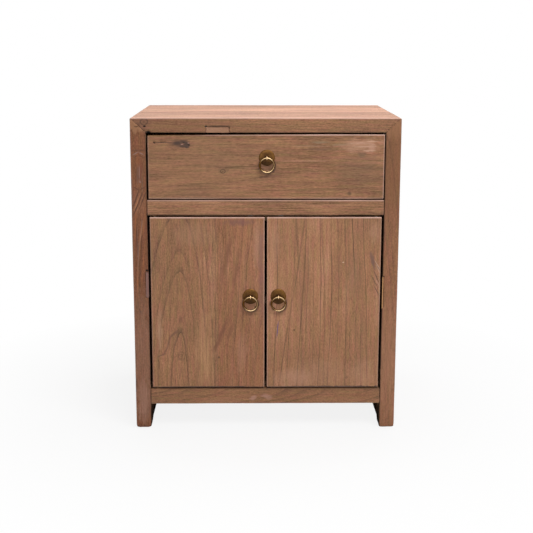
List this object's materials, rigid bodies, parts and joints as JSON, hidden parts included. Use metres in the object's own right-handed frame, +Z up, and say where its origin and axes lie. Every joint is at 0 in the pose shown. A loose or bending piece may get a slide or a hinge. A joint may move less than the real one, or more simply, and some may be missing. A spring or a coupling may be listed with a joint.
{
  "type": "nightstand",
  "caption": "Floor-standing nightstand in reclaimed elm: mitred slab case, an inset drawer above a pair of inset doors, brass ring pulls on round plates.",
  "frame": {"origin": "centre of the footprint on the floor, with the pulls counted in the depth", "axes": "+Z up, the front faces -Y, +X to the right of someone who faces the front"},
  "size_m": [0.55, 0.4117, 0.66],
  "materials": {
    "elm_case": "matt, worn, waxed reclaimed elm",
    "elm_top": "matt, worn, waxed reclaimed elm",
    "elm_front": "matt, worn, waxed reclaimed elm",
    "elm_patch": "matt waxed elm, lighter",
    "inner_wood": "bare planed softwood and elm",
    "brass": "polished by use",
    "brass_dark": "aged, brown",
    "steel": "plain",
    "magnet": "nickel plated magnet"
  },
  "bodies": {
    "case": {"side_left": "elm_case", "side_right": "elm_case", "top_board": "elm_top", "mitre_spline_left": "inner_wood", "mitre_spline_right": "inner_wood", "bottom_rail": "elm_case", "middle_rail": "elm_case", "rear_bottom_rail": "inner_wood", "rear_middle_rail": "inner_wood", "back_board_1": "inner_wood", "back_board_2": "inner_wood", "back_board_3": "inner_wood", "back_board_4": "inner_wood", "cabinet_floor": "inner_wood", "drawer_runner_left": "inner_wood", "drawer_runner_right": "inner_wood", "runner_screws": "steel", "drawer_stop_left": "inner_wood", "drawer_stop_right": "inner_wood", "door_head_stop": "inner_wood", "catch_magnets": "magnet", "shelf": "inner_wood", "shelf_cleat_left": "inner_wood", "shelf_cleat_right": "inner_wood", "cleat_screws": "steel", "left_pivot_bush_lower": "brass_dark", "left_pivot_bush_upper": "brass_dark", "right_pivot_bush_lower": "brass_dark", "right_pivot_bush_upper": "brass_dark", "top_edge_patch": "elm_patch", "left_post_patch": "elm_patch", "right_post_patch": "elm_patch"},
    "drawer": {"drawer_front": "elm_front", "drawer_side_left": "inner_wood", "drawer_side_right": "inner_wood", "drawer_back": "inner_wood", "drawer_bottom": "inner_wood", "drawer_bottom_screws": "steel", "drawer_pull_plate": "brass_dark", "drawer_pull_pin": "brass"},
    "drawer_ring": {"drawer_pull_ring": "brass"},
    "left_door": {"left_door_panel": "elm_front", "left_door_batten_lower": "inner_wood", "left_door_batten_upper": "inner_wood", "left_door_pivots": "steel", "left_door_strike": "steel", "left_pull_plate": "brass_dark", "left_pull_pin": "brass"},
    "left_ring": {"left_pull_ring": "brass"},
    "right_door": {"right_door_panel": "elm_front", "right_door_batten_lower": "inner_wood", "right_door_batten_upper": "inner_wood", "right_door_pivots": "steel", "right_door_strike": "steel", "right_pull_plate": "brass_dark", "right_pull_pin": "brass"},
    "right_ring": {"right_pull_ring": "brass"}
  },
  "joints": [
    {"name": "drawer_slide", "type": "slide", "parent": "case", "child": "drawer", "axis": [0, -1, 0], "range_m": [0, 0.25]},
    {"name": "left_door_hinge", "type": "hinge", "parent": "case", "child": "left_door", "pos_m": [-0.2288, -0.18415, 0.091], "axis": [0, 0, -1], "range_deg": [0, 105]},
    {"name": "right_door_hinge", "type": "hinge", "parent": "case", "child": "right_door", "pos_m": [0.2288, -0.18415, 0.091], "axis": [0, 0, 1], "range_deg": [0, 105]},
    {"name": "drawer_ring_hinge", "type": "hinge", "parent": "drawer", "child": "drawer_ring", "pos_m": [0.002, -0.20115, 0.5795], "axis": [-1, 0, 0], "range_deg": [-8, 170]},
    {"name": "left_ring_hinge", "type": "hinge", "parent": "left_door", "child": "left_ring", "pos_m": [-0.0318, -0.20115, 0.2895], "axis": [-1, 0, 0], "range_deg": [-8, 170]},
    {"name": "right_ring_hinge", "type": "hinge", "parent": "right_door", "child": "right_ring", "pos_m": [0.0266, -0.20115, 0.2895], "axis": [-1, 0, 0], "range_deg": [-8, 170]}
  ]
}
